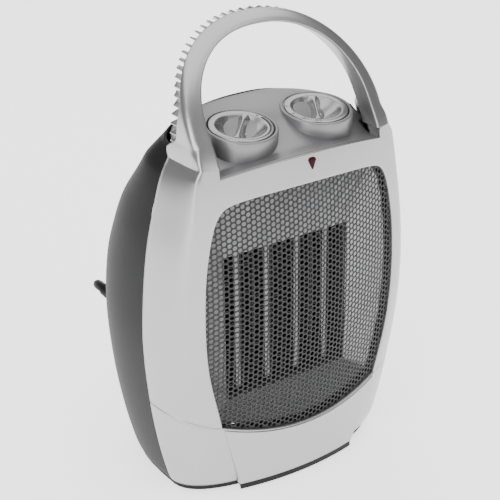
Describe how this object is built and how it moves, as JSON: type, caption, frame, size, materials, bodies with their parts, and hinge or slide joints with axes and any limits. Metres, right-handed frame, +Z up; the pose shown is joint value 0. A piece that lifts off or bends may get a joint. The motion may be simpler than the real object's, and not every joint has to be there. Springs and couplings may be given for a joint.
{
  "type": "ceramic space heater",
  "caption": "Upright ceramic fan heater with an oval body, perforated front grille, leaning ribbed carry handle and two top knobs.",
  "frame": {"origin": "bottom centre of the bounding box, on the floor under the middle of the body, cord left out", "axes": "+Z up, front grille toward -Y, +X to the right seen from the front"},
  "size_m": [0.1688, 0.2035, 0.2506],
  "materials": {
    "silver_plastic": "satin metallic",
    "panel_plastic": "satin metallic",
    "dark_plastic": "fine textured",
    "black_plastic": "moulded matt",
    "grille_paint": "satin black",
    "lens_red": "clear tinted gloss",
    "lamp_glass": "clear",
    "sheet_metal": "rolled sheet",
    "element_body": "heat-proof moulding",
    "fin_aluminium": "folded strip",
    "ceramic": "fired, unglazed",
    "brass": "stamped",
    "steel": "plated",
    "white_plastic": "moulded",
    "rubber": "soft matt",
    "wire_sleeve": "insulated wire"
  },
  "bodies": {
    "heater": {"front_shell": "silver_plastic", "carry_handle": "silver_plastic", "handle_ribs": "silver_plastic", "lower_cover": "silver_plastic", "rear_shell": "dark_plastic", "control_panel": "panel_plastic", "screw_posts": "silver_plastic", "front_grille": "grille_paint", "grille_frame": "black_plastic", "indicator_lens": "lens_red", "neon_lamp": "lamp_glass", "lamp_holder": "black_plastic", "air_duct": "sheet_metal", "element_frame": "element_body", "element_fins": "fin_aluminium", "ceramic_bars": "ceramic", "electrode_tabs": "brass", "element_clamps": "sheet_metal", "thermal_cutout": "ceramic", "thermal_fuse": "ceramic", "fan_shroud": "black_plastic", "motor_body": "steel", "motor_bracket": "sheet_metal", "motor_grommets": "rubber", "thermostat_body": "ceramic", "thermostat_contacts": "brass", "mode_switch": "black_plastic", "tip_switch": "black_plastic", "base_plate": "black_plastic", "foot_pads": "rubber", "base_screws": "steel", "shell_screws": "steel", "element_screws": "steel", "motor_nuts": "steel", "terminal_block": "white_plastic", "inner_wires": "wire_sleeve", "cord_clamp": "black_plastic", "clamp_screws": "steel", "strain_relief": "rubber", "power_cord": "rubber", "coil_tie": "black_plastic", "plug_body": "rubber", "plug_pins": "steel"},
    "thermostat_control": {"thermostat_knob": "panel_plastic", "thermostat_shaft": "steel"},
    "mode_control": {"mode_knob": "panel_plastic", "mode_shaft": "steel"},
    "fan": {"fan_impeller": "white_plastic", "motor_shaft": "steel"},
    "tip_button": {"tip_plunger": "white_plastic"}
  },
  "joints": [
    {"name": "thermostat_turn", "type": "hinge", "parent": "heater", "child": "thermostat_control", "pos_m": [-0.0235, -0.0303, 0.2014], "axis": [0, -0.1564, 0.9877], "range_deg": [-135, 135]},
    {"name": "mode_turn", "type": "hinge", "parent": "heater", "child": "mode_control", "pos_m": [0.0235, -0.0303, 0.2014], "axis": [0, -0.1564, 0.9877], "range_deg": [-30, 90]},
    {"name": "fan_spin", "type": "hinge", "parent": "heater", "child": "fan", "pos_m": [0, 0.0053, 0.094], "axis": [0, 1, 0], "continuous": true},
    {"name": "tip_button_press", "type": "slide", "parent": "heater", "child": "tip_button", "axis": [0, 0, 1], "range_m": [0, 0.003], "stiffness_N_per_m": 60, "springref_m": -0.004}
  ]
}
